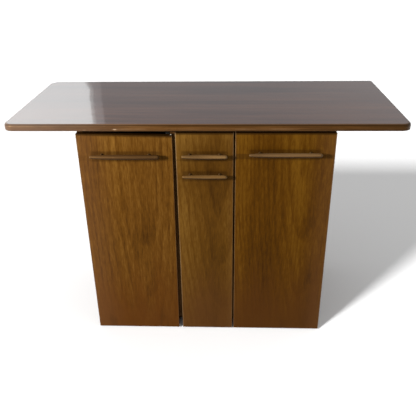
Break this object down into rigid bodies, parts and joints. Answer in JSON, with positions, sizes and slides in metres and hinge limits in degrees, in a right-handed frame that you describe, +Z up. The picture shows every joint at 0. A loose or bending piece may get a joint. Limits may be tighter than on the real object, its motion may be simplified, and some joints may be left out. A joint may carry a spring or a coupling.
{
  "type": "sewing table",
  "caption": "Free-standing sewing table: a wide slab worktop over a narrower walnut cabinet with a hinged door on each side of a drawer and a deep pull-out bin.",
  "frame": {"origin": "on the floor, at the centre of the table's footprint, which is the slab's", "axes": "+X to the right seen from the front, along the slab's length; +Y to the back, so the doors face -Y; +Z up"},
  "size_m": [1.178, 0.504, 0.76],
  "materials": {
    "walnut_top": "high-gloss clear lacquer over dark walnut",
    "walnut_front": "satin-gloss lacquer over vertical-grain walnut veneer",
    "walnut_pull": "satin lacquer on turned solid walnut",
    "walnut_case": "satin lacquer over walnut veneer",
    "beech_box": "plain sealed beech",
    "hardboard": "bare brown hardboard",
    "steel": "dull plated steel",
    "catch_plastic": "black moulded plastic",
    "glide_plastic": "dark moulded plastic"
  },
  "bodies": {
    "table": {"table_top": "walnut_top", "left_side": "walnut_case", "right_side": "walnut_case", "left_partition": "walnut_case", "right_partition": "walnut_case", "cabinet_floor": "walnut_case", "front_rail": "walnut_case", "rear_rail": "walnut_case", "back_panel": "hardboard", "left_shelf": "walnut_case", "right_shelf": "walnut_case", "glide_front_left": "glide_plastic", "glide_front_right": "glide_plastic", "glide_rear_left": "glide_plastic", "glide_rear_right": "glide_plastic", "left_lower_hinge_cabinet_leaf": "steel", "left_lower_hinge_pin": "steel", "left_upper_hinge_cabinet_leaf": "steel", "left_upper_hinge_pin": "steel", "right_lower_hinge_cabinet_leaf": "steel", "right_lower_hinge_pin": "steel", "right_upper_hinge_cabinet_leaf": "steel", "right_upper_hinge_pin": "steel", "left_catch_body": "catch_plastic", "right_catch_body": "catch_plastic", "drawer_runner_left": "beech_box", "drawer_runner_right": "beech_box", "pullout_runner_left": "beech_box", "pullout_runner_right": "beech_box"},
    "left_door": {"left_door": "walnut_front", "left_lower_hinge_door_leaf": "steel", "left_upper_hinge_door_leaf": "steel", "left_catch_strike": "steel", "left_door_pull_bar": "walnut_pull", "left_door_pull_post_1": "walnut_pull", "left_door_pull_post_2": "walnut_pull"},
    "right_door": {"right_door": "walnut_front", "right_lower_hinge_door_leaf": "steel", "right_upper_hinge_door_leaf": "steel", "right_catch_strike": "steel", "right_door_pull_bar": "walnut_pull", "right_door_pull_post_1": "walnut_pull", "right_door_pull_post_2": "walnut_pull"},
    "drawer": {"drawer_front": "walnut_front", "drawer_left_side": "beech_box", "drawer_right_side": "beech_box", "drawer_back": "beech_box", "drawer_bottom": "hardboard", "drawer_pull_bar": "walnut_pull", "drawer_pull_post_1": "walnut_pull", "drawer_pull_post_2": "walnut_pull"},
    "pullout": {"pullout_front": "walnut_front", "pullout_left_side": "beech_box", "pullout_right_side": "beech_box", "pullout_back": "beech_box", "pullout_bottom": "hardboard", "pullout_pull_bar": "walnut_pull", "pullout_pull_post_1": "walnut_pull", "pullout_pull_post_2": "walnut_pull"}
  },
  "joints": [
    {"name": "left_door_hinge", "type": "hinge", "parent": "table", "child": "left_door", "pos_m": [-0.3845, -0.2046, 0.3525], "axis": [0, 0, -1], "range_deg": [0, 110]},
    {"name": "right_door_hinge", "type": "hinge", "parent": "table", "child": "right_door", "pos_m": [0.3845, -0.2046, 0.3525], "axis": [0, 0, 1], "range_deg": [0, 110]},
    {"name": "drawer_slide", "type": "slide", "parent": "table", "child": "drawer", "axis": [0, -1, 0], "range_m": [0, 0.26]},
    {"name": "pullout_slide", "type": "slide", "parent": "table", "child": "pullout", "axis": [0, -1, 0], "range_m": [0, 0.26]}
  ]
}
